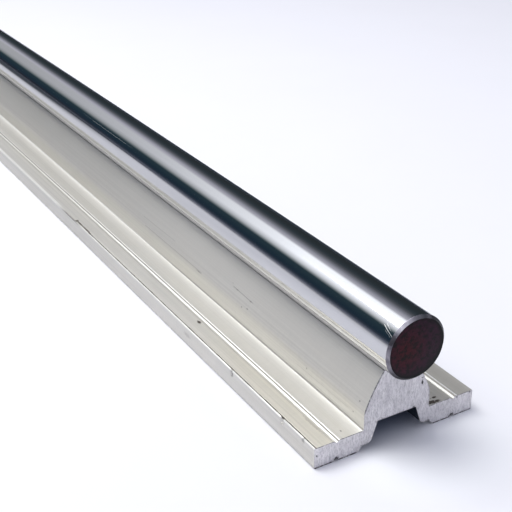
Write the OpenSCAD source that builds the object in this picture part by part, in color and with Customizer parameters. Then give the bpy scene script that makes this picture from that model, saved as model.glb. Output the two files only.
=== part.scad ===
// Supported round rail: a ground steel shaft screwed down on an extruded aluminium support.
// The rail runs along Y, the flanges spread along X, and the feet stand on Z = 0.

/* [Rail] */
// Length of the shaft
shaft_len = 300; // [200:10:600]
// Length of shaft that stands out past each sawn end of the support
end_stand = 4.3; // [0:0.1:10]
// Height of the shaft's centre above the feet
centre_h = 20.46; // [19:0.02:24]

/* [Shaft] */
// Diameter of the shaft
shaft_d = 12; // [11:0.5:13]
// Chamfer on the rim of each shaft end
shaft_chamfer = 0.5; // [0.2:0.1:1]
// Depth of the tapped holes in the underside of the shaft
tap_depth = 7; // [5.5:0.5:8]

/* [Flanges] */
// Width across both flanges
base_w = 34; // [31:0.5:44]
// Thickness of the flanges
flange_t = 4.2; // [3:0.1:5.5]
// Radius on the long edges of the flanges
edge_r = 0.3; // [0.1:0.05:0.6]
// Distance between the two guide grooves for drilling the flanges
groove_c = 25; // [22:0.5:28]
// Width of each guide groove
groove_w = 1.2; // [0.6:0.1:2]
// Depth of each guide groove
groove_depth = 0.45; // [0.2:0.05:0.9]
// Width of the notch under each guide groove
notch_w = 1.1; // [0.6:0.1:2]
// Depth of the notch under each guide groove
notch_depth = 0.55; // [0.2:0.05:0.9]

/* [Web] */
// Width of the web where it stands on the flanges
web_w = 14; // [13:0.2:16]
// Height at which the upright sides of the web turn into the curved flanks
knee_h = 7.8; // [6:0.1:9]
// Radius of the outward curve of the flanks
flank_r = 36; // [20:1:60]
// Width across the rims of the cradle
rim_w = 6.4; // [5.8:0.1:7.5]
// Depth of the cradle, from its rims down to the underside of the shaft
cradle_depth = 0.65; // [0.3:0.05:0.7]
// Radius in the corner between web and flange
corner_r = 0.3; // [0.1:0.05:1]
// Gap between the cradle and the shaft
cradle_fit = 0.03; // [0:0.01:0.15]

/* [Channel] */
// Width of the channel at its ceiling
channel_w = 8.2; // [7.8:0.1:8.8]
// Height of the channel's ceiling above the feet
channel_h = 5.1; // [5:0.1:6]
// Width of the channel at its mouth
mouth_w = 10.9; // [9.8:0.1:11.4]
// Height of the raised strips between the channel and the feet
relief_h = 1.1; // [0.5:0.1:1.6]
// Width across the raised strips, between the feet
relief_w = 16.4; // [15.4:0.2:18]
// Slant of the step between the raised strips and the feet, across the rail
relief_slant = 1; // [0.2:0.1:1.5]
// Chamfer between the channel's walls and the raised strips
mouth_chamfer = 0.5; // [0.2:0.1:0.7]

/* [Screws] */
// Thread diameter of the screws that hold the shaft
screw_d = 4; // [3:0.5:4]
// Distance from one screw to the next
screw_pitch = 100; // [60:10:150]
// Distance from each sawn end of the support within which no screw stands
screw_margin = 20; // [10:5:40]
// Length of the screws under their heads
screw_len = 16; // [15:0.5:16.5]
// Diameter of the screw heads
head_d = 7; // [6:0.1:7.4]
// Height of the screw heads
head_h = 4; // [3:0.1:4]
// Size across the flats of the sockets in the heads
socket_af = 3; // [2:0.1:4]
// Depth of the sockets in the heads
socket_depth = 2; // [1:0.1:2.5]
// Outer diameter of the spring washers
washer_d = 7.6; // [7:0.1:7.6]
// Thickness of the spring washers
washer_t = 0.9; // [0.5:0.1:1]
// Width of the slit in each spring washer
washer_slit = 0.6; // [0.3:0.1:1]
// Gap around the screws in the holes through the support
hole_fit = 0.25; // [0.1:0.05:0.5]
// Gap around the screws in the tapped holes of the shaft
tap_fit = 0.02; // [0:0.01:0.1]
// Gap around the screws inside the spring washers
washer_fit = 0.1; // [0.05:0.05:0.3]

/* [Hidden] */
$fn = 96;
eps = 0.01;
support_len = shaft_len - 2 * end_stand;
shaft_r = shaft_d / 2;
shaft_bottom = centre_h - shaft_r;
rim_h = shaft_bottom + cradle_depth;

// The flank's arc runs from the knee to the rim; its centre lies beyond the middle plane.
knee = [web_w / 2, knee_h];
rim = [rim_w / 2, rim_h];
flank_chord = norm(rim - knee);
flank_normal = [rim.y - knee.y, knee.x - rim.x] / flank_chord;
flank_centre = (knee + rim) / 2 - flank_normal * sqrt(flank_r ^ 2 - (flank_chord / 2) ^ 2);

screw_n = 1 + floor((support_len - 2 * screw_margin) / screw_pitch);
function screw_y(i) = (i - (screw_n - 1) / 2) * screw_pitch;
head_top = channel_h - washer_t;

// Lays something drawn along Z down along Y, centred on the middle of the rail.
module along_rail(len) {
    translate([0, len / 2, 0]) rotate([90, 0, 0]) children();
}

module both_sides() {
    children();
    mirror([1, 0]) children();
}

module rounded_slab(w, t, r) {
    translate([-w / 2 + r, 0]) square([w - 2 * r, t]);
    translate([-w / 2, r]) square([w, t - 2 * r]);
    both_sides() for (z = [r, t - r]) translate([w / 2 - r, z]) circle(r);
}

// Fills a square corner at the origin with a quarter-round fillet towards +X and +Y.
module corner_fillet(r) {
    difference() {
        translate([-eps, -eps]) square(r + eps);
        translate([r, r]) circle(r);
    }
}

module flank_section() {
    intersection() {
        translate([-web_w / 2, knee_h - eps]) square([web_w, rim_h - knee_h + eps]);
        translate(flank_centre) circle(flank_r, $fn = 360);
        translate([-flank_centre.x, flank_centre.y]) circle(flank_r, $fn = 360);
    }
}

module vee(w, depth) {
    polygon([[-w / 2 - eps, -eps], [w / 2 + eps, -eps], [0, depth]]);
}

// Opening under the web: channel, chamfered mouth, raised strips and the steps to the feet.
module underside_section() {
    slope = (mouth_w - channel_w) / 2 / (channel_h - relief_h);
    chamfer_h = relief_h + mouth_chamfer;
    chamfer_x = mouth_w / 2 - slope * mouth_chamfer;
    polygon([
        [-relief_w / 2, -eps], [-relief_w / 2, 0], [-relief_w / 2 + relief_slant, relief_h],
        [-mouth_w / 2 - mouth_chamfer, relief_h], [-chamfer_x, chamfer_h], [-channel_w / 2, channel_h],
        [channel_w / 2, channel_h], [chamfer_x, chamfer_h], [mouth_w / 2 + mouth_chamfer, relief_h],
        [relief_w / 2 - relief_slant, relief_h], [relief_w / 2, 0], [relief_w / 2, -eps]
    ]);
}

module support_section() {
    difference() {
        union() {
            rounded_slab(base_w, flange_t, edge_r);
            translate([-web_w / 2, flange_t / 2]) square([web_w, knee_h - flange_t / 2]);
            flank_section();
            both_sides() translate([web_w / 2, flange_t]) corner_fillet(corner_r);
        }
        translate([0, centre_h]) circle(shaft_r + cradle_fit, $fn = 180);
        underside_section();
        both_sides() translate([groove_c / 2, flange_t]) mirror([0, 1]) vee(groove_w, groove_depth);
        both_sides() translate([groove_c / 2, 0]) vee(notch_w, notch_depth);
    }
}

module support_rail() {
    color([0.80, 0.79, 0.77]) difference() {
        along_rail(support_len) linear_extrude(support_len) support_section();
        for (i = [0:screw_n - 1]) translate([0, screw_y(i), channel_h - 1])
            cylinder(h = centre_h, r = screw_d / 2 + hole_fit);
    }
}

module shaft() {
    color([0.62, 0.64, 0.67]) difference() {
        translate([0, 0, centre_h]) along_rail(shaft_len) rotate_extrude($fn = 180) polygon([
            [0, 0], [shaft_r - shaft_chamfer, 0], [shaft_r, shaft_chamfer],
            [shaft_r, shaft_len - shaft_chamfer], [shaft_r - shaft_chamfer, shaft_len], [0, shaft_len]
        ]);
        for (i = [0:screw_n - 1]) translate([0, screw_y(i), shaft_bottom - 1])
            cylinder(h = tap_depth + 1, r = screw_d / 2 + tap_fit);
    }
}

module shaft_screw() {
    color([0.20, 0.20, 0.21]) difference() {
        union() {
            translate([0, 0, head_top - head_h]) cylinder(h = head_h, d = head_d);
            translate([0, 0, head_top - eps]) cylinder(h = screw_len + eps, d = screw_d);
        }
        translate([0, 0, head_top - head_h - eps])
            cylinder(h = socket_depth + eps, d = socket_af / cos(30), $fn = 6);
    }
}

module spring_washer() {
    color([0.45, 0.45, 0.46]) translate([0, 0, head_top]) difference() {
        cylinder(h = washer_t, d = washer_d);
        translate([0, 0, -eps]) cylinder(h = washer_t + 2 * eps, r = screw_d / 2 + washer_fit);
        translate([0, -washer_slit / 2, -eps]) cube([washer_d, washer_slit, washer_t + 2 * eps]);
    }
}

shaft();
support_rail();
for (i = [1:screw_n]) translate([0, screw_y(i - 1), 0]) {
    shaft_screw();
    spring_washer();
}
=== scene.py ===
from math import asin, atan2, cos, hypot, pi, radians, sin, sqrt

import bmesh
import bpy
from mathutils import Matrix, Vector, noise


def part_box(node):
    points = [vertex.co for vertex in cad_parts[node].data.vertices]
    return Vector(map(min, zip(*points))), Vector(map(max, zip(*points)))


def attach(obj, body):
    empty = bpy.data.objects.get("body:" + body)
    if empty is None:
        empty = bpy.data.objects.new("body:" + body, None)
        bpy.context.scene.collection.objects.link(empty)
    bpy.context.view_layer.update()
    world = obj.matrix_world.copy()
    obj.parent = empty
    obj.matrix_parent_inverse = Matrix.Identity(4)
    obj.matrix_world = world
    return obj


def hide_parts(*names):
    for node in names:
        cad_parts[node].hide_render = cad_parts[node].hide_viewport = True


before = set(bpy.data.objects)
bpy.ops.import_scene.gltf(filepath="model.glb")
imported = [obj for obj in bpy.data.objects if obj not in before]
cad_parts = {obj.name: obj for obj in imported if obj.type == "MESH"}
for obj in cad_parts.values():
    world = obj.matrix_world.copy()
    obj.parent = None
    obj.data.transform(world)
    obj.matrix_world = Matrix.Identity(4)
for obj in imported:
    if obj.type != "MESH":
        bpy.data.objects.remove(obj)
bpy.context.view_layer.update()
mm = 0.001
touch = 0.01  # mm, closer than this is the same place
railLow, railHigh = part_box("support_rail")
shaftLow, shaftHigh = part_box("shaft")
nearEnd, farEnd = railLow.y / mm, railHigh.y / mm  # sawn ends of the support, in mm
shaftMid = (shaftLow.z + shaftHigh.z) / 2 / mm  # height of the shaft's axis
shaftRadius = (shaftHigh.z - shaftLow.z) / 2 / mm
screwNames = sorted(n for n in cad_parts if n.startswith("shaft_screw_"))
washerNames = sorted(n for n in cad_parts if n.startswith("spring_washer_"))
print("frame loaded, rail", round(farEnd - nearEnd, 1), "mm long")


# node helpers
def setInputs(tree, node, inputs):  # a socket is linked, anything else is set
    for name, value in inputs.items():
        if isinstance(value, bpy.types.NodeSocket):
            tree.links.new(value, node.inputs[name])
        else:
            node.inputs[name].default_value = value
    return node


def addNode(tree, kind, inputs=None, **settings):
    node = tree.nodes.new(kind)
    for name, value in settings.items():
        setattr(node, name, value)
    return setInputs(tree, node, inputs or {})


def calc(tree, operation, a, b=0.0, c=0.0, clamp=False):  # one Math node
    node = addNode(tree, "ShaderNodeMath", {0: a, 1: b, 2: c}, operation=operation, use_clamp=clamp)
    return node.outputs[0]


def scaled(tree, value, by, plus, clamp=False):
    return calc(tree, "MULTIPLY_ADD", value, by, plus, clamp)


def times(tree, product, *others):
    for other in others:
        product = calc(tree, "MULTIPLY", product, other)
    return product


def strongest(tree, most, *others):
    for other in others:
        most = calc(tree, "MAXIMUM", most, other)
    return most


def vectorCalc(tree, operation, a, b=(0, 0, 0)):  # a length or a distance comes out as a value
    node = addNode(tree, "ShaderNodeVectorMath", {0: a, 1: b}, operation=operation)
    return node.outputs["Value" if operation in ("LENGTH", "DISTANCE") else "Vector"]


def fade(tree, value, low, high, start=0.0, end=1.0, smooth=False):  # from start at low to end at high
    limits = {"Value": value, "From Min": low, "From Max": high, "To Min": start, "To Max": end}
    kind = "SMOOTHSTEP" if smooth else "LINEAR"
    return addNode(tree, "ShaderNodeMapRange", limits, interpolation_type=kind).outputs[0]


def between(tree, value, low, high, soft):  # 1 from low to high, fading over soft outside
    return times(tree, fade(tree, value, low - soft, low), fade(tree, value, high + soft, high))


def blendColour(tree, factor, a, b, mode="MIX"):
    node = addNode(tree, "ShaderNodeMix", {0: factor, 6: a, 7: b}, data_type="RGBA", blend_type=mode)
    return node.outputs[2]


def ramp(tree, factor, stops):  # stops are (place, colour)
    node = addNode(tree, "ShaderNodeValToRGB", {0: factor})
    while len(node.color_ramp.elements) < len(stops):
        node.color_ramp.elements.new(1.0)
    for element, (place, colour) in zip(node.color_ramp.elements, stops):
        element.position = place
        element.color = colour
    return node.outputs[0]


def grey(value):
    return (value, value, value, 1)


def newGroup(name, inputs, output):  # inputs are (name, type, start value)
    tree = bpy.data.node_groups.new(name, "ShaderNodeTree")
    for label, kind, value in inputs:
        socket = tree.interface.new_socket(label, in_out="INPUT", socket_type="NodeSocket" + kind)
        if value is not None:
            socket.default_value = value
    tree.interface.new_socket(output, in_out="OUTPUT", socket_type="NodeSocketFloat")
    return tree, tree.nodes.new("NodeGroupInput").outputs, tree.nodes.new("NodeGroupOutput").inputs[output]


# shared effects
def makeStreaks():  # long lines left by a die or a wheel; Scale is lines per mm, by axis
    tree, given, lines = newGroup("streaks", [("Place", "Vector", None), ("Scale", "Vector", (2, 0.01, 2)),
                                              ("Detail", "Float", 4.0)], "Lines")
    place = vectorCalc(tree, "MULTIPLY", given["Place"], given["Scale"])
    grain = addNode(tree, "ShaderNodeTexNoise", {"Vector": place, "Scale": 1.0, "Detail": given["Detail"],
                                                 "Roughness": 0.65})
    tree.links.new(grain.outputs["Fac"], lines)
    return tree


def makeSpot():  # soft mask, 1 at Centre and 0 past Size
    tree, given, mask = newGroup("spot", [("Place", "Vector", None), ("Centre", "Vector", (0, 0, 0)),
                                          ("Size", "Vector", (1, 1, 1)), ("Ragged", "Float", 0.3)], "Mask")
    away = vectorCalc(tree, "SUBTRACT", given["Place"], given["Centre"])
    distance = vectorCalc(tree, "LENGTH", vectorCalc(tree, "DIVIDE", away, given["Size"]))
    wobble = addNode(tree, "ShaderNodeTexNoise", {"Vector": given["Place"], "Scale": 3.0, "Detail": 2.0})
    shifted = scaled(tree, calc(tree, "SUBTRACT", wobble.outputs["Fac"], 0.5),
                     times(tree, given["Ragged"], 4.0), distance)
    tree.links.new(fade(tree, shifted, 1.0, 0.45, smooth=True), mask)
    return tree


def makeSpecks():  # scattered small dark specks
    tree, given, mask = newGroup("specks", [("Place", "Vector", None), ("PerMm", "Float", 0.3),
                                            ("Share", "Float", 0.1), ("Radius", "Float", 0.12)], "Mask")
    cells = addNode(tree, "ShaderNodeTexVoronoi", {"Vector": given["Place"], "Scale": given["PerMm"]})
    pick = addNode(tree, "ShaderNodeSeparateColor", {0: cells.outputs["Color"]}).outputs
    radius = times(tree, given["Radius"], calc(tree, "ADD", pick[1], 0.3))
    near = fade(tree, cells.outputs["Distance"], radius, times(tree, radius, 0.5))
    tree.links.new(times(tree, near, calc(tree, "LESS_THAN", pick[0], given["Share"])), mask)
    return tree


streaks, spot, specks = makeStreaks(), makeSpot(), makeSpecks()
print("shared effects made")


def newMaterial(name, look):  # patterns come as values, and as greys where they name their tones
    material = bpy.data.materials.new(name)
    material.use_nodes = True
    tree = material.node_tree
    objectPlace = addNode(tree, "ShaderNodeTexCoord").outputs["Object"]
    place = addNode(tree, "ShaderNodeMapping", {"Vector": objectPlace, "Scale": (1 / mm, 1 / mm, 1 / mm)})
    place = place.outputs[0]  # in mm
    values, greys = {}, {}
    for key, (scale, detail, *tones) in look.get("patterns", {}).items():
        values[key] = addNode(tree, "ShaderNodeGroup", {"Place": place, "Scale": scale, "Detail": detail},
                              node_tree=streaks).outputs[0]
        if tones:
            greys[key] = ramp(tree, values[key], [(at, grey(tone)) for at, tone in tones])
    return material, tree, tree.nodes["Principled BSDF"], place, values, greys


def splitPlace(tree, place):  # x, y from the near sawn end, z
    x, y, z = addNode(tree, "ShaderNodeSeparateXYZ", {0: place}).outputs
    return x, calc(tree, "SUBTRACT", y, nearEnd), z


def setFinish(tree, shader, look, base, pattern, others):  # rougher where the pattern is high
    rough = scaled(tree, pattern, look["rougher"], look["roughness"])
    setInputs(tree, shader, {"Base Color": base, "Roughness": rough, **others})


def addBump(tree, shader, heights):  # heights are (height socket, depth in mm)
    normal = None
    for height, depth in heights:
        bump = addNode(tree, "ShaderNodeBump", {"Strength": 1.0, "Distance": depth * mm, "Height": height})
        if normal is not None:
            tree.links.new(normal, bump.inputs["Normal"])
        normal = bump.outputs[0]
    tree.links.new(normal, shader.inputs["Normal"])


def spotMask(tree, place, marks, ragged=0.3):  # the strongest of soft spots, y from the near sawn end
    masks = []
    for (x, y, z), size, strength in marks:
        one = addNode(tree, "ShaderNodeGroup", {"Place": place, "Centre": (x, y + nearEnd, z), "Size": size,
                                                "Ragged": ragged}, node_tree=spot)
        masks.append(times(tree, one.outputs[0], strength))
    return strongest(tree, *masks)


def scratchMask(tree, x, along, z, scratches):  # straight scratches seen from the left, by y and z
    found = []
    for y0, z0, y1, z1, half, strength in scratches:
        slope = (z1 - z0) / (y1 - y0)
        level = scaled(tree, along, slope, z0 - y0 * slope)
        off = calc(tree, "ABSOLUTE", calc(tree, "SUBTRACT", z, level))
        found.append(times(tree, between(tree, off, -1, half, half), between(tree, along, y0, y1, 0.6),
                           calc(tree, "LESS_THAN", x, 0), strength))
    return strongest(tree, *found)


def stripes(tree, value, bands, soft=0.06):  # the strongest of bands, each (middle, half width, strength)
    return strongest(tree, *(times(tree, between(tree, value, middle - half, middle + half, soft), strength)
                             for middle, half, strength in bands))


# aluminium support, all sizes in mm
support = dict(
    # right half of the section, x and z, from the channel's ceiling round to the knee
    section=[(0, 5.1), (4.1, 5.1), (5.281, 1.6), (5.95, 1.1), (7.2, 1.1), (8.2, 0), (11.95, 0), (12.5, 0.55),
             (13.05, 0), (17, 0), (17, 4.2), (16.78, 4.2), (16.62, 4.2), (16.46, 4.2), (13.1, 4.2),
             (12.5, 3.75), (11.9, 4.2), (7, 4.2), (7, 7.8)],
    rim=(3.2, 15.11), flankRadius=36, flankSteps=12, cradleRadius=6.03, cradleSteps=10,
    # radius, then the corners that it rounds
    rounds=[(0.3, [(17, 0), (7, 4.2)]), (0.18, [(17, 4.2)]), (0.12, [(8.2, 0), (7.2, 1.1), (4.1, 5.1)]),
            (0.08, [(13.1, 4.2), (11.9, 4.2), (12.5, 3.75), (11.95, 0), (13.05, 0), (12.5, 0.55),
                    (3.2, 15.11)]),
            (0.9, [(7, 7.8)])],
    longest=0.4,  # longest edge of the section, so that the sawn arris can be ragged
    # ragged ends: per mm and share of each wave
    arris=0.09, ragged=0.12, raggedLeast=0.9, waves=((1.7, 0.5), (6.1, 0.4)),
    torn=0.16, tornLeast=0.3, tornWave=2.3, tornArea=(-3, 7.4, 15.3),  # left flank: x below, z from and to
    holeRadius=2.25, holeHeights=(4.6, 16),
    rings=[0.6, 60, 100, 108, 180],  # cuts across the section, from the near sawn end
    # shallow rubbed line along the left edge, and nicks in that edge: y, half length, depth
    lineX=-16.62, lineFrom=4, lineLength=107, lineDepth=0.1,
    nicks=[(3.5, 0.5, 0.12), (10.4, 0.75, 0.3), (28.6, 0.6, 0.16)],
    nickSteps=(-1, -0.5, 0, 0.4, 1), nickArea=(-16.7, 3.2), nickSlope=0.7,
)


def flankCentre():  # centre of the right flank's curve
    knee, rim = Vector(support["section"][-1]), Vector(support["rim"])
    chord = rim - knee
    inward = Vector((-chord.y, chord.x)).normalized()
    return (knee + rim) / 2 + inward * sqrt(support["flankRadius"] ** 2 - (chord.length / 2) ** 2)


aluminium = dict(
    warm=(0.7, 0.672, 0.6, 1), cool=(0.68, 0.675, 0.65, 1), dirtAndPaintedShade=(0.085, 0.07, 0.06, 1),
    bright=(0.93, 0.92, 0.88, 1), rosy=(1.05, 1.03, 0.97, 1), dull=(0.36, 0.35, 0.325, 1),
    grime=(0.02, 0.032, 0.05, 1), scale=(0.3, 0.3, 0.295, 1), shine=(1, 1, 0.97, 1),
    flank=(0.93, 0.9, 0.83, 1), metallic=0.55, roughness=0.36, roughLines=0.12, roughDirtAndShade=0.3,
    lineDepth=0.014, grainDepth=0.009, dirtAndShadeDepth=0.03,
    # lines per mm by axis, detail, then levels of the pattern with the grey there
    patterns=dict(
        fine=((3.2, 0.012, 3.2), 5, (0.25, 0.85), (0.62, 1)),
        broad=((0.45, 0.01, 0.45), 3, (0.3, 0.94), (0.65, 1)),
        cross=((0.35, 1.6, 0.35), 4, (0.3, 0.94), (0.6, 1)),
        broken=((0.4, 0.5, 0.4), 4, (0.3, 0.6), (0.6, 1)),
        inner=((0.5, 0.02, 0.5), 4, (0.3, 0.55), (0.65, 1)),
        grain=((9, 5, 9), 3), patches=((0.12, 0.025, 0.12), 3)),
    specks=dict(PerMm=0.16, Share=0.3, Radius=0.03),
    # dark line of painted shadow in the shallow rubbed line near the left edge; from some lengths on it is
    # shifted or wider
    lineMiddle=-16.64, lineHalf=0.14, lineEnd=108.5, lineShift=(100, 0.14),
    lineWider=[(99, 0.07), (107.6, 0.19)],
    # where something is: from, to, softness outside
    bands=dict(afterLine=(108, 114, 5), channelWidth=(-1, 5.6, 0.1), channelHeight=(-1, 5.3, 0.1),
               web=(0, 7.15, 0.08), foot=(4.05, 4.38, 0.15), top=(3.3, 4.4, 0.1), burnished=(7.1, 7.5, 2.2),
               rubbed=(122, 400, 8), outside=(16.85, 20, 0.1), rosyWidth=(-16.4, -13.3, 0.3),
               rosyLength=(-1, 25, 25), back=(165, 400, 45)),
    # how something changes: from, to, and the values there
    fades=dict(foot=(70, 120, 0.62, 0.06), shine=(60, 150, 1.0, 0.35), flank=(8, 15, 0.0, 0.75),
               dull=(50, 130, 0.0, 0.25), mouth=(2, 26)),
    topFrom=3.9, paintedEdgeHighlightFrom=3.95, arrisEdge=-16.8, paintedHighlightEdge=-16.45, paintedShadeRightFrom=7.0, paintedRimShadeFrom=14.97,
    paintedContactShadowEdge=(16.6, 0.2),
    shares=dict(cross=0.5, specks=0.5, afterLine=0.55, burnished=0.75, arris=0.8, rubbed=0.6, right=0.3,
                rim=0.5, low=0.5, sparedTop=0.55, sparedOutside=0.6, back=0.16),
    # scratches on the web: y and z of both ends, half width, strength
    scratches=[(39.5, 10.2, 47.0, 10.38, 0.045, 0.4), (60, 8.2, 88, 8.3, 0.05, 0.3),
               (74, 9.9, 90, 9.75, 0.05, 0.15), (5, 6.2, 21, 6.1, 0.04, 0.2)],
    # painted shade lines along the guide grooves and the right outer edge, with dirt in the groove bottoms,
    # then painted highlight lines on the groove walls: x, half width, strength
    paintedGrooveShadeLines=[(-13.24, 0.08, 0.3), (-12.15, 0.075, 0.66), (-11.8, 0.05, 0.25), (13.02, 0.06, 0.66),
                 (11.8, 0.06, 0.2), (12.22, 0.26, 0.22), (16.85, 0.3, 0.26)],
    paintedGrooveHighlightLines=[(-12.4, 0.13, 0.75), (-11.97, 0.04, 0.8), (12.74, 0.11, 0.8), (13.38, 0.13, 1.0)],
    # centre with y from the near sawn end, half size, strength
    marks=[((-13.9, 47.5, 4.2), (0.42, 0.9, 0.6), 1.0), ((-6.2, 40.1, 10.2), (0.6, 0.6, 0.16), 0.7),
           ((-6.1, 45.6, 10.35), (0.6, 0.9, 0.14), 0.65), ((-6.1, 47.8, 10.85), (0.6, 0.4, 0.14), 0.5),
           ((-7.0, 42.3, 8.15), (0.6, 0.4, 0.16), 0.5), ((-6.9, 40.3, 8.6), (0.6, 0.4, 0.16), 0.55),
           ((-7.0, 61.0, 8.0), (0.6, 1.4, 0.13), 0.6), ((-7.0, 18.0, 6.9), (0.5, 0.3, 0.2), 0.5),
           ((-7.0, 3.2, 6.2), (0.5, 0.25, 0.2), 0.55), ((-6.6, 2.0, 8.9), (0.6, 0.25, 0.2), 0.45),
           # painted shade under the nicks in the left edge: the next three spots
           ((-17.0, 3.5, 3.7), (0.3, 0.55, 0.75), 0.4), ((-17.0, 10.4, 3.6), (0.3, 0.5, 0.8), 0.62),
           ((-17.0, 28.3, 3.45), (0.3, 0.75, 0.8), 0.6), ((-17.0, 47.0, 2.4), (0.3, 1.8, 0.6), 0.22),
           ((-10.4, 1.95, 4.2), (0.2, 0.35, 0.4), 0.75), ((-13.45, 6.0, 4.2), (0.35, 3.6, 0.4), 0.3),
           ((8.3, 0.6, 4.2), (1.2, 0.7, 0.5), 1.0), ((9.3, 0.5, 4.2), (0.9, 0.45, 0.5), 1.0),
           ((9.5, 1.65, 4.2), (0.9, 0.36, 0.5), 1.0), ((8.3, 1.75, 4.2), (0.5, 0.25, 0.5), 0.5),
           ((13.5, 5.0, 4.2), (0.3, 0.8, 0.4), 0.3)],
)


def makeAluminium():
    look = aluminium
    fades, shares = look["fades"], look["shares"]
    material, tree, shader, place, values, greys = newMaterial("extrudedAluminium", look)
    x, along, z = splitPlace(tree, place)
    side = calc(tree, "ABSOLUTE", x)

    def above(value, limit):
        return calc(tree, "GREATER_THAN", value, limit)

    def below(value, limit):
        return calc(tree, "LESS_THAN", value, limit)

    def within(value, band):
        return between(tree, value, *look["bands"][band])

    base = blendColour(tree, values["patches"], look["warm"], look["cool"])
    for name, share in (("fine", 1.0), ("broad", 1.0), ("cross", shares["cross"])):
        base = blendColour(tree, share, base, greys[name], "MULTIPLY")
    start, shift = look["lineShift"]
    middle = scaled(tree, above(along, start), shift, look["lineMiddle"])
    half = look["lineHalf"]
    for start, more in look["lineWider"]:
        half = scaled(tree, above(along, start), more, half)
    off = calc(tree, "ABSOLUTE", calc(tree, "SUBTRACT", x, middle))
    inLength, onTop = below(along, look["lineEnd"]), above(z, look["topFrom"])
    # painted shadow in the shallow rubbed line along the left edge
    line = times(tree, below(off, half), inLength, onTop, greys["broken"])
    onEdge = below(x, look["arrisEdge"])
    afterLine = times(tree, within(along, "afterLine"), onEdge, onTop, shares["afterLine"])
    few = addNode(tree, "ShaderNodeGroup", {"Place": place, **look["specks"]}, node_tree=specks)
    few = times(tree, few.outputs[0], shares["specks"])
    marks = spotMask(tree, place, look["marks"])

    # painted highlights at the foot of the web, along the left edge and on the groove walls, painted light on
    # the upper web, and a rosy tint near the end
    web, top = within(side, "web"), within(z, "top")
    # painted shade and painted highlights along the guide grooves
    grooves, shine = (times(tree, stripes(tree, x, look[k]), top) for k in ("paintedGrooveShadeLines", "paintedGrooveHighlightLines"))
    burnished = times(tree, within(side, "burnished"), top, shares["burnished"])
    # painted highlight along the rounded left edge, as far as the rubbed line
    arris = times(tree, onEdge, inLength, above(z, look["paintedEdgeHighlightFrom"]), shares["arris"])
    # painted highlight along the left edge further back
    rubbed = times(tree, within(along, "rubbed"), onTop, below(x, look["paintedHighlightEdge"]))
    paintedHighlights = strongest(tree, burnished, arris, times(tree, rubbed, shares["rubbed"]))
    base = blendColour(tree, paintedHighlights, base, look["bright"])
    # painted highlights on the groove walls, fading towards the back
    base = blendColour(tree, times(tree, shine, fade(tree, along, *fades["shine"])), base, look["shine"])
    # painted light on the upper web, growing towards the cradle rim
    flank = times(tree, fade(tree, z, *fades["flank"]), web)
    base = blendColour(tree, flank, base, look["flank"])
    rosy = times(tree, within(x, "rosyWidth"), within(along, "rosyLength"), top)
    base = blendColour(tree, rosy, base, look["rosy"], "MULTIPLY")

    # painted shade: darker towards the back, where the light falls off, sparing in part the top, the painted
    # highlights and the outer sides, and more on the back of the upper web
    spared = strongest(tree, times(tree, top, shares["sparedTop"]), burnished, rubbed,
                       times(tree, within(side, "outside"), shares["sparedOutside"]))
    paintedFalloff = times(tree, fade(tree, along, *fades["dull"], smooth=True), calc(tree, "SUBTRACT", 1.0, spared))
    back = times(tree, within(along, "back"), flank)
    base = blendColour(tree, scaled(tree, back, shares["back"], paintedFalloff), base, look["dull"])

    # dirt, scratches and the dark lines, with painted shade in the web's foot, on the right flange, at the
    # cradle rim, along the sides' foot and in the grooves
    # painted shade in the corner at the foot of the web, fading towards the back
    foot = times(tree, within(z, "foot"), web, fade(tree, along, *fades["foot"]))
    # painted shade on the right flange, less where the groove highlights are painted
    right = times(tree, above(x, look["paintedShadeRightFrom"]), top,
                  scaled(tree, shine, -shares["right"], shares["right"]))
    # painted shade on the cradle rim under the shaft
    rim = times(tree, above(z, look["paintedRimShadeFrom"]), shares["rim"])
    # painted contact shadow along the bottom of the outer sides
    low = times(tree, above(side, look["paintedContactShadowEdge"][0]), below(z, look["paintedContactShadowEdge"][1]), shares["low"])
    worn = scratchMask(tree, x, along, z, look["scratches"])
    dirtAndPaintedShade = strongest(tree, marks, few, line, afterLine, rim, low, grooves, foot, right, worn)
    base = blendColour(tree, dirtAndPaintedShade, base, look["dirtAndPaintedShade"])
    # inside the channel: painted shade near the mouth, oxide scale further in
    channel = times(tree, within(side, "channelWidth"), within(z, "channelHeight"))
    inside = times(tree, fade(tree, along, *fades["mouth"], smooth=True), greys["inner"])
    base = blendColour(tree, channel, base, blendColour(tree, inside, look["grime"], look["scale"]))
    rough = scaled(tree, values["broad"], look["roughLines"], look["roughness"])
    rough = scaled(tree, dirtAndPaintedShade, look["roughDirtAndShade"], rough, clamp=True)
    setInputs(tree, shader, {"Base Color": base, "Metallic": look["metallic"], "Roughness": rough})
    addBump(tree, shader, [(values["fine"], look["lineDepth"]), (values["grain"], look["grainDepth"]),
                           (calc(tree, "SUBTRACT", 1.0, dirtAndPaintedShade), look["dirtAndShadeDepth"])])
    return material


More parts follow.
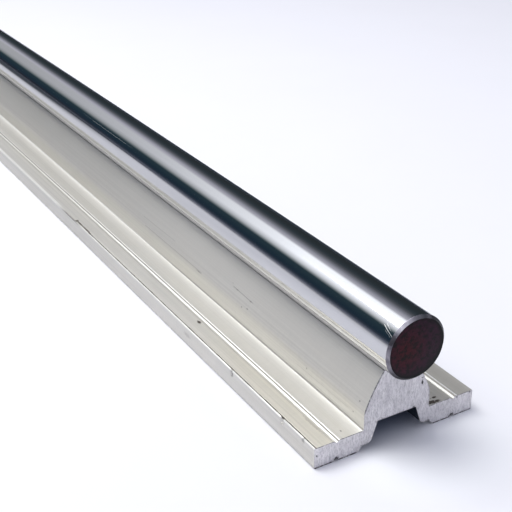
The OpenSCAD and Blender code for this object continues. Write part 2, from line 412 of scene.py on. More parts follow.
sawnEnd = dict(
    base=(0.8, 0.77, 0.79, 1), light=(1.0, 0.975, 0.98, 1), dark=(0.04, 0.038, 0.042, 1), metallic=0.35,
    roughness=0.4, rougher=0.2, cutDepth=0.07, fineDepth=0.028,
    patterns=dict(
        cuts=((1.5, 0.2, 0.34), 6, (0.36, 0), (0.62, 1)), fine=((5.5, 1, 1.9), 6, (0.34, 0.68), (0.56, 1)),
        blotch=((0.5, 0.1, 0.45), 3, (0.3, 0.86), (0.6, 1)), crumbs=((4, 0.3, 4), 4, (0.36, 0.5), (0.5, 1)),
        tear=((1.5, 0.3, 1.5), 4, (0.4, 0.4), (0.52, 1))),
    darker=(-12, 8, 0.0, 0.06),  # painted shade towards the right: x from and to, and the shares of dark there
    # centre x, z and half size, strength
    marks=[((-16.45, 2.47), (0.2, 0.32), 0.85), ((13.6, 3.7), (0.17, 0.3), 0.85),
           ((16.5, 3.85), (0.35, 0.2), 0.7), ((5.35, 9.75), (0.25, 0.7), 1.0),
           ((-3.9, 14.6), (0.5, 0.4), 0.5), ((5.3, 10.7), (0.35, 0.18), 0.7),
           ((-5.9, 10.0), (0.18, 0.3), 0.6), ((-6.4, 9.0), (0.3, 0.25), 0.6),
           ((-6.8, 8.1), (0.35, 0.2), 0.6), ((-5.1, 11.4), (0.12, 0.4), 0.4),
           ((-4.4, 13.0), (0.15, 0.3), 0.4), ((3.7, 5.2), (0.35, 0.2), 0.6),
           # painted shade round the notches in the underside: the next two spots
           ((12.5, 0.45), (0.75, 0.38), 0.9), ((-12.5, 0.45), (0.75, 0.38), 0.9),
           ((7.2, 1.0), (0.5, 0.2), 0.6)],
    markDepth=2, markRagged=0.4,
    # dark lines along the torn arrises, the lowest also painted contact shadow along the foot: z from, z to,
    # distances from the middle, strength
    tornLinesAndContactShadow=[(-0.1, 0.14, 8.3, 17.1, 0.95), (3.98, 4.3, 7.2, 16.6, 0.85), (0.95, 1.22, 5.9, 7.4, 0.5)],
    tornSoft=0.05, tornFlank=0.85, tornWidth=0.34, tornFade=0.12, tornHeights=(7.4, 15.2, 0.1),
)


def makeSawnEnd():
    look = sawnEnd
    material, tree, shader, place, values, greys = newMaterial("sawnAluminium", look)
    x, z = splitPlace(tree, place)[::2]
    base = blendColour(tree, greys["cuts"], look["base"], look["light"])
    for name in ("fine", "blotch"):
        base = blendColour(tree, 1.0, base, greys[name], "MULTIPLY")
    # painted shade, darker towards the right
    base = blendColour(tree, fade(tree, x, *look["darker"]), base, look["dark"])
    broken, side = times(tree, greys["tear"], greys["crumbs"]), calc(tree, "ABSOLUTE", x)
    dark = [spotMask(tree, place, [((cx, 0, cz), (w, look["markDepth"], h), strength)
                                   for (cx, cz), (w, h), strength in look["marks"]], look["markRagged"])]
    soft = look["tornSoft"]
    # the lowest line is also painted contact shadow along the foot
    for low, high, inner, outer, strength in look["tornLinesAndContactShadow"]:
        dark.append(times(tree, between(tree, z, low, high, soft), between(tree, side, inner, outer, soft),
                          broken, strength))
    middle = flankCentre()
    flat = addNode(tree, "ShaderNodeCombineXYZ", {"X": x, "Z": z}).outputs[0]
    reach = vectorCalc(tree, "DISTANCE", flat, (-middle.x, 0, middle.y))
    radius = support["flankRadius"]
    rim = between(tree, reach, radius - look["tornWidth"], 2 * radius, look["tornFade"])
    left = calc(tree, "LESS_THAN", x, 0)
    dark.append(times(tree, rim, between(tree, z, *look["tornHeights"]), left, broken, look["tornFlank"]))
    base = blendColour(tree, strongest(tree, *dark), base, look["dark"])
    setFinish(tree, shader, look, base, values["cuts"], {"Metallic": look["metallic"]})
    addBump(tree, shader, [(values["cuts"], look["cutDepth"]), (values["fine"], look["fineDepth"])])
    return material


# shaft
cutSteel = dict(
    black=(0.008, 0.0085, 0.009, 1), brown=(0.06, 0.011, 0.016, 1), violet=(0.037, 0.013, 0.027, 1),
    roughness=0.4, rougher=0.2, specular=0.1, fineDepth=0.01, fineShare=0.5,
    patterns=dict(mottle=((0.95, 0.2, 0.95), 9, (0.4, 0.85), (0.56, 0)), speckle=((2.2, 0.3, 2.2), 6),
                  fine=((3, 1, 3), 4, (0.3, 0.45), (0.7, 1.3))),
    # x and z from the shaft's axis, and distances from there
    rimCentre=(-0.35, 0.35), rimFade=(4.6, 5.6), rustCentre=(-2.3, 0.2), rustFade=(4.2, 8.5), rustSpread=6.0)
groundSteel = dict(
    colour=(0.57, 0.57, 0.585, 1), rubbed=(0.53, 0.535, 0.55, 1), bare=(0.9, 0.9, 0.9, 1), ringDepth=0.0006,
    roughness=0.055, roughClouds=0.05, roughLines=0.03, roughScratch=0.5,
    patterns=dict(rings=((0.05, 7, 0.05), 4), lines=((2.4, 0.01, 2.4), 4), clouds=((0.3, 0.05, 0.3), 3)),
    paintedCradleShade=(19.6, 15.5, 0.0, 0.42),  # painted shade towards the cradle: z from and to, and its shares there
    darkBand=(18.3, 18.9, 0.9), darkBandShare=0.24,  # a thin darker band over it
    # y from the near sawn end and z of both ends, half width, strength
    scratches=[(-3.55, 23.94, -1.13, 24.57, 0.032, 0.7), (-3.3, 23.75, -1.9, 24.1, 0.026, 0.5),
               (-2.6, 24.5, -1.6, 24.8, 0.03, 0.5), (98, 24.08, 114, 23.96, 0.03, 0.32),
               (113, 23.96, 128, 24.1, 0.03, 0.32), (102, 24.03, 122, 24.00, 0.03, 0.5)])


def makeGroundSteel():
    look = groundSteel
    material, tree, shader, place, values, greys = newMaterial("groundSteel", look)
    x, along, z = splitPlace(tree, place)
    scratch = scratchMask(tree, x, along, z, look["scratches"])
    base = blendColour(tree, values["clouds"], look["colour"], look["rubbed"])
    base = blendColour(tree, scratch, base, look["bare"])
    darkBand = times(tree, between(tree, z, *look["darkBand"]), look["darkBandShare"])
    # painted shade on the shaft's lower part towards the cradle, with a thin darker band
    paintedCradleShade = strongest(tree, fade(tree, z, *look["paintedCradleShade"], smooth=True), darkBand)
    base = blendColour(tree, paintedCradleShade, base, cutSteel["black"])
    rough = look["roughness"]
    for value, share in ((values["clouds"], look["roughClouds"]), (values["lines"], look["roughLines"]),
                         (scratch, look["roughScratch"])):
        rough = scaled(tree, value, share, rough)
    setInputs(tree, shader, {"Base Color": base, "Metallic": 1.0, "Roughness": rough})
    addBump(tree, shader, [(values["rings"], look["ringDepth"]), (values["lines"], look["ringDepth"])])
    return material


def makeCutSteel():
    look = cutSteel
    material, tree, shader, place, values, greys = newMaterial("cutSteelEnd", look)
    flat = vectorCalc(tree, "MULTIPLY", place, (1, 0, 1))
    rim, rust = (vectorCalc(tree, "DISTANCE", flat, (x, 0, shaftMid + z))
                 for x, z in (look["rimCentre"], look["rustCentre"]))
    tone = scaled(tree, values["speckle"], look["rustSpread"], rust)
    base = blendColour(tree, fade(tree, tone, *look["rustFade"]), look["brown"], look["violet"])
    base = blendColour(tree, greys["mottle"], base, look["black"])
    base = blendColour(tree, fade(tree, rim, *look["rimFade"], smooth=True), base, look["black"])
    base = blendColour(tree, look["fineShare"], base, greys["fine"], "MULTIPLY")
    setFinish(tree, shader, look, base, values["mottle"], {"Specular IOR Level": look["specular"]})
    addBump(tree, shader, [(values["fine"], look["fineDepth"])])
    return material


turnedSteel = dict(
    colour=(0.36, 0.345, 0.385, 1), stained=(0.16, 0.15, 0.18, 1), roughness=0.31, rougher=0.15,
    specular=0.15, fineDepth=0.004,
    patterns=dict(stain=((0.5, 0.5, 0.5), 5, (0.35, 0), (0.7, 1)), fine=((4, 14, 4), 2)),
    lit=(1.5, 5.0, 0.85, 1.5),  # height over the axis from and to, and the brightness there
    # painted shade: black at the bottom, and towards the lower right by x less a part of the height
    bottom=(-1.5, -4.6, 0.0, 0.92), lean=-0.36, lowerRight=(-0.3, 1.2, 0.0, 0.92),
    smudges=[((-5.0, -4.05, 23.4), (1.2, 1.5, 1.4), 0.75), ((4.3, -4.05, 24.3), (1.3, 1.5, 1.3), 0.35)])


def makeTurnedSteel():
    look = turnedSteel
    material, tree, shader, place, values, greys = newMaterial("turnedChamfer", look)
    x, z = splitPlace(tree, place)[::2]
    height = calc(tree, "SUBTRACT", z, shaftMid)
    base = blendColour(tree, greys["stain"], look["colour"], look["stained"])
    base = blendColour(tree, 1.0, base, fade(tree, height, *look["lit"]), "MULTIPLY")
    leaning = scaled(tree, height, look["lean"], x)
    # painted shade at the bottom and lower right of the chamfer, with smudges
    black = strongest(tree, fade(tree, height, *look["bottom"]), fade(tree, leaning, *look["lowerRight"]),
                      spotMask(tree, place, look["smudges"]))
    base = blendColour(tree, black, base, cutSteel["black"])
    setFinish(tree, shader, look, base, values["stain"], {"Metallic": calc(tree, "SUBTRACT", 1.0, black),
                                                          "Specular IOR Level": look["specular"]})
    addBump(tree, shader, [(values["fine"], look["fineDepth"])])
    return material


# fasteners
blackSteel = dict(colour=(0.075, 0.075, 0.082, 1), worn=(0.19, 0.185, 0.18, 1), roughness=0.24,
                  metallic=0.85)
springSteel = dict(colour=(0.28, 0.28, 0.29, 1), worn=(0.42, 0.41, 0.4, 1), roughness=0.21, metallic=1.0)
for steel in (blackSteel, springSteel):
    steel.update(patterns=dict(mottle=((0.8, 0.8, 0.8), 5, (0.4, 0), (0.75, 1)), turned=((0.4, 0.4, 6), 3)),
                 rougher=0.25, turnedDepth=0.006, mottleDepth=0.004)


def makeFastenerSteel(name, look):
    material, tree, shader, place, values, greys = newMaterial(name, look)
    base = blendColour(tree, greys["mottle"], look["colour"], look["worn"])
    setFinish(tree, shader, look, base, values["mottle"], {"Metallic": look["metallic"]})
    addBump(tree, shader, [(values["turned"], look["turnedDepth"]), (values["mottle"], look["mottleDepth"])])
    return material


aluminiumLook, sawnLook = makeAluminium(), makeSawnEnd()
steelLook, cutLook, chamferLook = makeGroundSteel(), makeCutSteel(), makeTurnedSteel()
screwLook = makeFastenerSteel("blackScrewSteel", blackSteel)
washerLook = makeFastenerSteel("springSteel", springSteel)
print("materials made")


# mesh helpers, everything in mm until finishPiece
def pieceFrom(name, bm, materials=()):
    mesh = bpy.data.meshes.new(name)
    bm.to_mesh(mesh)
    bm.free()
    for material in materials:
        mesh.materials.append(material)
    piece = bpy.data.objects.new(name, mesh)
    bpy.context.scene.collection.objects.link(piece)
    return piece


def vertsOf(geom):
    return [g for g in geom if isinstance(g, bmesh.types.BMVert)]


def wholeOf(bm):
    return bm.verts[:] + bm.edges[:] + bm.faces[:]


def drawLine(bm, points):  # a chain of edges
    verts = [bm.verts.new(point) for point in points]
    return verts, [bm.edges.new(pair) for pair in zip(verts, verts[1:])]


def move(bm, offset):
    bmesh.ops.translate(bm, vec=offset, verts=bm.verts)


def spin(bm, geom, centre, axis, angle, steps, rise=(0, 0, 0), useMerge=False):
    return bmesh.ops.spin(bm, geom=geom, cent=centre, axis=axis, dvec=rise, angle=angle, steps=steps,
                          use_merge=useMerge, use_duplicate=False)


def cleanShell(bm):
    bmesh.ops.remove_doubles(bm, verts=bm.verts, dist=1e-4)
    bmesh.ops.recalc_face_normals(bm, faces=bm.faces)


def cutAway(piece, cutter):  # the cutter is used up
    cut = piece.modifiers.new("cut", "BOOLEAN")
    cut.object, cut.operation, cut.solver = cutter, "DIFFERENCE", "EXACT"
    whole = piece.data
    piece.data = bpy.data.meshes.new_from_object(piece.evaluated_get(bpy.context.evaluated_depsgraph_get()))
    piece.modifiers.clear()
    bpy.data.objects.remove(cutter)
    bpy.data.meshes.remove(whole)
    piece.data.name = piece.name


def finishPiece(piece, node, sharpAngle=28):
    bm = bmesh.new()
    bm.from_mesh(piece.data)
    bmesh.ops.scale(bm, vec=(mm, mm, mm), verts=bm.verts)
    for face in bm.faces:
        face.smooth = True
    for edge in bm.edges:
        edge.smooth = edge.calc_face_angle(0) < radians(sharpAngle)
    bm.to_mesh(piece.data)
    bm.free()
    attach(piece, "root")
    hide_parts(node)


def holeCutters(radius, low, high):  # one round bar at each screw
    bm = bmesh.new()
    for name in screwNames:
        lo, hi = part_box(name)
        centre = Vector(((lo.x + hi.x) / 2 / mm, (lo.y + hi.y) / 2 / mm, (low + high) / 2))
        bmesh.ops.create_cone(bm, cap_ends=True, segments=48, radius1=radius, radius2=radius,
                              depth=high - low, matrix=Matrix.Translation(centre))
    return pieceFrom("cutters", bm)


def sectionFace():
    s = support
    bm = bmesh.new()
    verts, edges = drawLine(bm, [(x, 0, z) for x, z in s["section"]])
    rim, middle = Vector(s["rim"]), flankCentre()
    sweep = 2 * asin((rim - Vector(s["section"][-1])).length / 2 / s["flankRadius"])
    turned = spin(bm, [verts[-1]], (middle.x, 0, middle.y), (0, 1, 0), -sweep, s["flankSteps"])
    lip = bm.verts.new((sqrt(s["cradleRadius"] ** 2 - (shaftMid - rim.y) ** 2), 0, rim.y))
    bm.edges.new((turned["geom_last"][0], lip))
    spin(bm, [lip], (0, 0, shaftMid), (0, 1, 0), atan2(lip.co.x, shaftMid - rim.y), s["cradleSteps"])
    bmesh.ops.mirror(bm, geom=bm.verts[:] + bm.edges[:], matrix=Matrix(), merge_dist=1e-4, axis="X")
    bmesh.ops.remove_doubles(bm, verts=bm.verts, dist=1e-4)
    bmesh.ops.contextual_create(bm, geom=bm.edges[:])
    for radius, corners in s["rounds"]:
        picked = [v for v in bm.verts
                  if any(hypot(abs(v.co.x) - x, v.co.z - z) < touch for x, z in corners)]
        bmesh.ops.bevel(bm, geom=picked, offset=radius, offset_type="OFFSET", segments=4, profile=0.5,
                        affect="VERTICES", material=-1)
    for edge in [e for e in bm.edges if e.calc_length() > s["longest"]]:
        bmesh.ops.subdivide_edges(bm, edges=[edge], cuts=int(edge.calc_length() / s["longest"]))
    return bm


def tearEnd(bm, face):  # ragged sawn arris round one end
    s = support
    outer = face.verts[:]
    inward = 1 if face.normal.y < 0 else -1
    rim = bmesh.ops.inset_region(bm, faces=[face], thickness=s["arris"], use_even_offset=True)["faces"]
    for part in rim + [face]:
        part.material_index = 1
    left, low, high = s["tornArea"]
    for vert in outer:
        rough = sum(noise.noise(vert.co * wave) * share for wave, share in s["waves"])
        vert.co.y += inward * s["ragged"] * (s["raggedLeast"] + rough)
        if vert.co.x < left and low < vert.co.z < high:
            vert.co.x += s["torn"] * max(0.0, noise.noise(vert.co * s["tornWave"]) + s["tornLeast"])


def makeSupport():
    s = support
    bm = sectionFace()
    length = farEnd - nearEnd
    move(bm, (0, nearEnd, 0))
    made = bmesh.ops.extrude_face_region(bm, geom=bm.faces[:])["geom"]
    bmesh.ops.translate(bm, vec=(0, length, 0), verts=vertsOf(made))
    bmesh.ops.recalc_face_normals(bm, faces=bm.faces)
    piece = pieceFrom("sawnSupportRail", bm, [aluminiumLook, sawnLook])
    cutAway(piece, holeCutters(s["holeRadius"], *s["holeHeights"]))
    bm = bmesh.new()
    bm.from_mesh(piece.data)
    steps = [y + half * step for y, half, depth in s["nicks"] for step in s["nickSteps"]]
    for place in steps + s["rings"] + [length - s["rings"][0]]:
        bmesh.ops.bisect_plane(bm, geom=wholeOf(bm), dist=1e-5, plane_co=(0, nearEnd + place, 0),
                               plane_no=(0, 1, 0))
    edge, height = s["nickArea"]
    for vert in bm.verts:  # the rubbed line, then the nicks
        along = vert.co.y - nearEnd
        if abs(vert.co.x - s["lineX"]) < touch and vert.co.z > s["lineFrom"] and along < s["lineLength"]:
            vert.co.z -= s["lineDepth"]
        for y, half, depth in s["nicks"]:
            near = 1 - abs(along - y) / half
            if near > 0 and vert.co.x < edge and vert.co.z > height:
                vert.co += Vector((depth * near, 0, -s["nickSlope"] * depth * near))
    for face in [f for f in bm.faces if abs(f.normal.y) > 0.99]:  # both ends
        tearEnd(bm, face)
    bmesh.ops.remove_doubles(bm, verts=bm.verts, dist=5e-4)
    bm.to_mesh(piece.data)
    bm.free()
    finishPiece(piece, "support_rail")


makeSupport()
print("aluminium support made")

# ground shaft
shaft = dict(chamfer=0.5, soften=0.05, segments=192, holeRadius=2.02, holeHeights=(12, 21.5), sharpAngle=20)


def makeShaft():
    s = shaft
    bm = bmesh.new()
    low, high, radius = shaftLow.y / mm, shaftHigh.y / mm, shaftRadius
    chamfer, soft = s["chamfer"], s["soften"]  # both edges of the chamfer are slightly soft
    half = [(0, low), (radius - chamfer - soft, low), (radius - chamfer, low + soft * 0.3),
            (radius - soft * 0.3, low + chamfer - soft * 0.2), (radius, low + chamfer + soft * 0.6)]
    half += [(r, low + high - y) for r, y in reversed(half)]
    verts, edges = drawLine(bm, [(r, y, shaftMid) for r, y in half])
    spin(bm, verts + edges, (0, 0, shaftMid), (0, 1, 0), 2 * pi, s["segments"], useMerge=True)
    cleanShell(bm)
    for face in bm.faces:  # sawn ends, then chamfers
        if abs(face.normal.y) > 0.9:
            face.material_index = 1
        elif abs(face.normal.y) > 0.2:
            face.material_index = 2
    piece = pieceFrom("groundShaft", bm, [steelLook, cutLook, chamferLook])
    cutAway(piece, holeCutters(s["holeRadius"], *s["holeHeights"]))
    finishPiece(piece, "shaft", s["sharpAngle"])


makeShaft()
print("ground shaft made")

# socket screws and spring washers
screw = dict(
    headHeight=4.0, ridges=36, ridgeDepth=0.13, faceChamfer=0.4, faceInset=0.1, seatChamfer=0.15,
    socketWidth=3.0, socketDepth=2.0, drillTip=0.25, socketChamfer=0.16, socketRim=0.06,
    rootRadius=1.55, crestRadius=1.98, segments=32, runOut=0.3, threadLength=15.2, threadStart=0.5, pitch=0.7,
    threadSteps=20, toothDepth=0.48, toothWidth=0.6,
    turnEach=0.7)  # each screw is turned a little further than the last
washer = dict(slitDegrees=9, soften=0.12, steps=64, innerRadius=2.1)


def makeScrewHead(bm, headRadius):
    s = screw
    count = s["ridges"] * 4

    def knurled(index):
        return headRadius - (s["ridgeDepth"] if index % 4 in (2, 3) else 0)

    def hexagon(index):
        return s["socketWidth"] / 2 / cos((index * 2 * pi / count) % (pi / 3) - pi / 6)

    corner = s["socketWidth"] / sqrt(3)
    rings = [(lambda index: corner / 2, s["socketDepth"] + s["drillTip"]), (hexagon, s["socketDepth"]),
             (hexagon, s["socketChamfer"]), (lambda index: corner + s["socketRim"], 0),
             (lambda index: headRadius - s["faceChamfer"] - s["faceInset"], 0), (knurled, s["faceChamfer"]),
             (knurled, s["headHeight"] - s["seatChamfer"]),
             (lambda index: headRadius - s["ridgeDepth"] - s["seatChamfer"], s["headHeight"])]
    bmesh.ops.create_circle(bm, cap_ends=True, radius=corner, segments=count)
    verts, cap = bm.verts[:], bm.faces[:]
    for step, (radius, height) in enumerate(rings):  # from the socket's floor outwards to the seat
        if step:
            grown = bmesh.ops.extrude_face_region(bm, geom=cap)["geom"]
            inner = [face for face in cap if face.is_valid and step > 1]
            bmesh.ops.delete(bm, geom=inner, context="FACES_ONLY")
            verts, cap = vertsOf(grown), [g for g in grown if isinstance(g, bmesh.types.BMFace)]
        for vert in verts:
            angle = atan2(vert.co.y, vert.co.x)
            reach = radius(round(angle / (2 * pi) * count))
            vert.co = (reach * cos(angle), reach * sin(angle), height)


def makeScrew(node, number):
    s = screw
    low, high = (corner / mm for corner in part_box(node))
    middle, top = (low + high) / 2, high.z - low.z
    bm = bmesh.new()
    makeScrewHead(bm, (high.x - low.x) / 2)
    root, crest, run = s["rootRadius"], s["crestRadius"], s["runOut"]
    bottom, threadFrom = s["headHeight"] - run, top - s["threadLength"]
    bar = [(0, bottom), (crest, bottom), (crest, threadFrom), (root, threadFrom + run), (root, top - run),
           (root - run, top), (0, top)]
    verts, edges = drawLine(bm, [(r, 0, z) for r, z in bar])
    spin(bm, verts + edges, (0, 0, 0), (0, 0, 1), 2 * pi, s["segments"], useMerge=True)
    turns = int((s["threadLength"] - 2 * s["threadStart"]) / s["pitch"])
    start, sunk = threadFrom + s["threadStart"], crest - s["toothDepth"]
    tooth, sides = drawLine(bm, [(sunk, 0, start), (crest, 0, start + s["toothWidth"] / 2),
                                 (sunk, 0, start + s["toothWidth"])])
    sides.append(bm.edges.new((tooth[-1], tooth[0])))
    spin(bm, tooth + sides + [bm.faces.new(tooth)], (0, 0, 0), (0, 0, 1), 2 * pi * turns,
         s["threadSteps"] * turns, rise=(0, 0, s["pitch"] / s["threadSteps"]))
    cleanShell(bm)
    bmesh.ops.rotate(bm, verts=bm.verts, matrix=Matrix.Rotation(number * s["turnEach"], 3, "Z"))
    move(bm, (middle.x, middle.y, low.z))
    finishPiece(pieceFrom(f"socketScrew{number}", bm, [screwLook]), node)


def makeWasher(node, number):
    s = washer
    low, high = (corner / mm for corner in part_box(node))
    inner, outer, thick = s["innerRadius"], (high.x - low.x) / 2, high.z - low.z
    bm = bmesh.new()
    bar = bmesh.ops.create_grid(bm, x_segments=1, y_segments=1, size=0.5)["verts"]
    bmesh.ops.scale(bm, vec=(outer - inner, thick, 1), verts=bar)
    bmesh.ops.bevel(bm, geom=bar, offset=s["soften"], offset_type="OFFSET", segments=3, profile=0.5,
                    affect="VERTICES", material=-1)
    bmesh.ops.rotate(bm, verts=bm.verts, matrix=Matrix.Rotation(pi / 2, 3, "X"))
    move(bm, ((outer + inner) / 2, 0, thick / 2))
    bmesh.ops.rotate(bm, verts=bm.verts, matrix=Matrix.Rotation(radians(s["slitDegrees"] / 2), 3, "Z"))
    spin(bm, wholeOf(bm), (0, 0, 0), (0, 0, 1), radians(360 - s["slitDegrees"]), s["steps"])
    bmesh.ops.recalc_face_normals(bm, faces=bm.faces)
    move(bm, ((low.x + high.x) / 2, (low.y + high.y) / 2, low.z))
    finishPiece(pieceFrom(f"springWasher{number}", bm, [washerLook]), node)


for number, (screwNode, washerNode) in enumerate(zip(screwNames, washerNames), 1):
    makeScrew(screwNode, number)
    makeWasher(washerNode, number)
print("screws and washers made:", len(screwNames))

# camera, seen from the near left
view = dict(azimuth=-29.811, elevation=26.266, roll=-0.885, lens=73.07, sensor=36, clip=(0.01, 20),
            fromNearEnd=(-94.8, -117.3, 109.42))  # mm from the foot of the near sawn end


def makeCamera():
    v = view
    az, el, roll = (radians(v[k]) for k in ("azimuth", "elevation", "roll"))
    back = Vector((sin(az) * cos(el), -cos(az) * cos(el), sin(el)))
    right = (-back).cross(Vector((0, 0, 1))).normalized()
    up = right.cross(-back)
    rightTurned = right * cos(roll) + up * sin(roll)
    upTurned = -right * sin(roll) + up * cos(roll)
    data = bpy.data.cameras.new("camera")
    data.lens, data.sensor_width = v["lens"], v["sensor"]
    data.clip_start, data.clip_end = v["clip"]
    camera = bpy.data.objects.new("camera", data)
    bpy.context.scene.collection.objects.link(camera)
    place = (Vector(v["fromNearEnd"]) + Vector((0, nearEnd, 0))) * mm
    turned = Matrix((rightTurned, upTurned, back)).transposed().to_4x4()
    camera.matrix_world = Matrix.Translation(place) @ turned
    bpy.context.scene.camera = camera


makeCamera()

# floor
floor = dict(
    halfWidth=3.0, drop=0.02, fade=(0.3, 0.62),  # fades to white further out
    colour=(0.9, 0.905, 0.945, 1), cool=(0.955, 0.97, 1.0, 1), roughness=0.9, specular=0.2,
    patterns=dict(cloud=((0.02, 0.02, 0.02), 4)), cloudShare=0.03,
    # painted shade on the floor under the channel's mouth: x from and to with softness, then two steps of y
    # inside the end; the cool colour is a painted tint of the shadow in front of the near end
    dim=(0.36, 0.44, 0.64, 1), deep=(0.05, 0.07, 0.1, 1), mouth=(-6.5, 6.5, 1.5), dimFade=(-1.5, 8),
    deepFade=(3, 16), paintedShadowTintPlace=[((4, -6, 0), (20, 17, 5), 1.0)])


def showOnly(tree, factor, first, second):  # a mix of two shaders in place of the material's own
    mixed = addNode(tree, "ShaderNodeMixShader", {0: factor, 1: first.outputs[0], 2: second.outputs[0]})
    tree.links.new(mixed.outputs[0], tree.nodes["Material Output"].inputs["Surface"])


def makeFloor():
    f = floor
    bm = bmesh.new()
    bmesh.ops.create_grid(bm, x_segments=8, y_segments=8, size=f["halfWidth"] / mm)
    piece = pieceFrom("studioFloor", bm)
    piece.data.transform(Matrix.Translation((0, 0, -f["drop"] * mm)) @ Matrix.Scale(mm, 4))
    material, tree, shader, place, values, greys = newMaterial("paleFloor", f)
    base = blendColour(tree, f["cloudShare"], f["colour"], values["cloud"], "MULTIPLY")
    x, y = addNode(tree, "ShaderNodeSeparateXYZ", {0: place}).outputs[:2]
    along = times(tree, calc(tree, "ABSOLUTE", y), -1)  # the same from either end
    inward, deeper = (fade(tree, along, nearEnd + low, nearEnd + high, smooth=True)
                      for low, high in (f["dimFade"], f["deepFade"]))
    # painted cool tint of the shadow in front of the near end
    base = blendColour(tree, spotMask(tree, place, f["paintedShadowTintPlace"], 0.0), base, f["cool"])
    # painted shade on the floor under the channel's mouth
    base = blendColour(tree, times(tree, inward, between(tree, x, *f["mouth"])), base,
                       blendColour(tree, deeper, f["dim"], f["deep"]))
    setInputs(tree, shader, {"Base Color": base, "Roughness": f["roughness"],
                             "Specular IOR Level": f["specular"]})
    far = fade(tree, vectorCalc(tree, "LENGTH", place), *(limit / mm for limit in f["fade"]), smooth=True)
    seen = addNode(tree, "ShaderNodeLightPath").outputs["Is Camera Ray"]
    white = addNode(tree, "ShaderNodeEmission", {"Color": grey(1), "Strength": 1.0})
    showOnly(tree, times(tree, far, seen), shader, white)
    piece.data.materials.append(material)


makeFloor()

# grey cards on the floor, seen by polished metal alone; places in mm, y from the near sawn end
cards = dict(
    shade=(0.036, 0.047, 0.062, 1), low=(-2900, -20), high=(2900, 2900), lift=0.3,
    rightStart=(6, 28), rightNear=(30, 105), rightFar=(190, 55), rightLean=3.0,
    leftStart=(-30, -75), leftFar=(105, 290), leftLean=1.35,
    leftWide=(-90, -300), wideShare=0.38, leftVeil=(35, 120), veilShare=0.19, leftMost=0.94)


def makeCards():
    c = cards
    bm = bmesh.new()
    bmesh.ops.create_grid(bm, x_segments=4, y_segments=4, size=0.5)
    bmesh.ops.scale(bm, vec=(c["high"][0] - c["low"][0], c["high"][1] - c["low"][1], 1), verts=bm.verts)
    move(bm, (0, (c["high"][1] + c["low"][1]) / 2 + nearEnd, c["lift"]))
    card = pieceFrom("greyCards", bm)
    card.data.transform(Matrix.Scale(mm, 4))
    card.visible_camera = card.visible_diffuse = card.visible_shadow = card.visible_transmission = False
    material, tree, shader, place, values, greys = newMaterial("greyCard", c)
    x, y = splitPlace(tree, place)[:2]
    lean = scaled(tree, x, -c["rightLean"], y)
    backward = scaled(tree, x, c["leftLean"], y)
    rightStart, rightNear, rightFar, leftStart, leftFar, leftWide, leftVeil = (
        fade(tree, value, *c[key], smooth=True)
        for value, key in ((x, "rightStart"), (y, "rightNear"), (lean, "rightFar"), (x, "leftStart"),
                           (backward, "leftFar"), (x, "leftWide"), (y, "leftVeil")))
    left = strongest(tree, times(tree, leftStart, leftFar), times(tree, leftWide, c["wideShare"]))
    veil = times(tree, leftVeil, c["veilShare"], calc(tree, "LESS_THAN", x, 0))
    left = calc(tree, "MINIMUM", calc(tree, "ADD", left, veil), c["leftMost"])
    showOnly(tree, strongest(tree, times(tree, rightStart, rightNear, rightFar), left),
             addNode(tree, "ShaderNodeBsdfTransparent"),
             addNode(tree, "ShaderNodeEmission", {"Color": c["shade"], "Strength": 1.0}))
    card.data.materials.append(material)


makeCards()

# light
studio = dict(
    # soft light by height, from the floor's edge to overhead
    plain=[(0.0, (0.175, 0.185, 0.26)), (0.35, (0.32, 0.33, 0.41)), (1.0, (0.6, 0.61, 0.69))],
    # what polished metal sees round the rail's axis: angle up from the right, in degrees, and light
    surround=[(0, (0.03, 0.036, 0.04)), (30, (0.034, 0.046, 0.054)), (43, (0.05, 0.066, 0.08)),
              (54, (0.12, 0.13, 0.15)), (64, (0.29, 0.3, 0.35)), (76, (0.62, 0.62, 0.71)),
              (84, (0.66, 0.66, 0.72)), (128, (0.24, 0.27, 0.28)), (136, (0.085, 0.12, 0.13)),
              (142, (0.029, 0.057, 0.074)), (165, (0.018, 0.037, 0.06)), (173, (0.045, 0.058, 0.085)),
              (179.4, (0.2, 0.22, 0.28))],
    overheadMask=[(0, 0), (79, 0), (87, 1), (112, 1), (119, 0.78), (127, 0.5), (136.6, 0.1), (140, 0),
                  (180, 0)],
    # light close to the horizon weakens where the view runs along the rail
    horizonMask=[(0, 0), (168, 0), (174, 1), (180, 1)], horizon=[(0.86, 1.0), (0.91, 0.3)],
    # overhead light's strength by how far the view runs along the rail
    overhead=[(0.0, 1.75), (0.755, 1.75), (0.77, 1.46), (0.81, 1.18), (0.853, 0.86), (0.895, 0.68),
              (0.93, 0.55), (1.0, 0.45)],
    overheadTint=(0.976, 1.0, 1.05), gain=2.0,  # metal's colours are halved and its light doubled
)


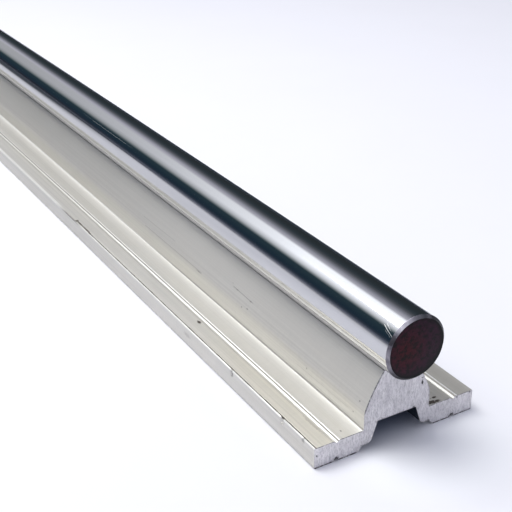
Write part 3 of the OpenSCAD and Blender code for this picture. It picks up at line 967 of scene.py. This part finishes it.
def makeWorld():
    world = bpy.data.worlds.new("studio")
    bpy.context.scene.world = world
    world.use_nodes = True
    tree = world.node_tree
    tree.nodes.clear()
    gain, tint = studio["gain"], studio["overheadTint"]

    def byAngle(key):  # greys by degrees round the rail's axis
        return ramp(tree, share, [(a / 180, grey(b)) for a, b in studio[key]])

    direction = addNode(tree, "ShaderNodeTexCoord").outputs["Generated"]
    x, y, z = addNode(tree, "ShaderNodeSeparateXYZ", {0: direction}).outputs
    share = calc(tree, "DIVIDE", calc(tree, "ARCTAN2", z, x), pi, clamp=True)
    surround = ramp(tree, share, [(a / 180, (*c, 1)) for a, c in studio["surround"]])
    far = calc(tree, "ABSOLUTE", y)
    strength = ramp(tree, far, [(a, (*(b / gain * t for t in tint), 1)) for a, b in studio["overhead"]])
    half = blendColour(tree, 1.0, surround, grey(1 / gain), "MULTIPLY")
    half = blendColour(tree, byAngle("horizonMask"), half,
                       ramp(tree, far, [(a, grey(b)) for a, b in studio["horizon"]]), "MULTIPLY")
    glossy = blendColour(tree, byAngle("overheadMask"), half, strength)
    plain = ramp(tree, calc(tree, "ABSOLUTE", z), [(a, (*c, 1)) for a, c in studio["plain"]])
    shiny, soft, white = (addNode(tree, "ShaderNodeBackground", {"Color": colour, "Strength": light})
                          for colour, light in ((glossy, gain), (plain, 1.0), (grey(1), 1.0)))
    path = addNode(tree, "ShaderNodeLightPath").outputs
    upward = times(tree, path["Is Glossy Ray"], calc(tree, "GREATER_THAN", z, 0))
    first = addNode(tree, "ShaderNodeMixShader", {0: upward, 1: soft.outputs[0], 2: shiny.outputs[0]})
    seen = strongest(tree, path["Is Camera Ray"], path["Is Transmission Ray"])
    second = addNode(tree, "ShaderNodeMixShader", {0: seen, 1: first.outputs[0], 2: white.outputs[0]})
    tree.links.new(second.outputs[0], addNode(tree, "ShaderNodeOutputWorld").inputs[0])


softBox = dict(place=(-0.18, 0.1, 0.59), target=(0, -0.08, 0), size=0.45, watts=3.5,
               colour=(1.0, 0.995, 0.965))


def makeSoftBox():
    s = softBox
    data = bpy.data.lights.new("overheadSoftBox", "AREA")
    data.shape, data.size, data.size_y = "RECTANGLE", s["size"], s["size"]
    data.energy, data.color = s["watts"], s["colour"]
    lamp = bpy.data.objects.new("overheadSoftBox", data)
    bpy.context.scene.collection.objects.link(lamp)
    lamp.location = s["place"]
    lamp.rotation_euler = (Vector(s["target"]) - Vector(s["place"])).to_track_quat("-Z", "Y").to_euler()


makeWorld()
makeSoftBox()
print("camera, floor and light made")

scene = bpy.context.scene
scene.view_settings.view_transform = "Standard"
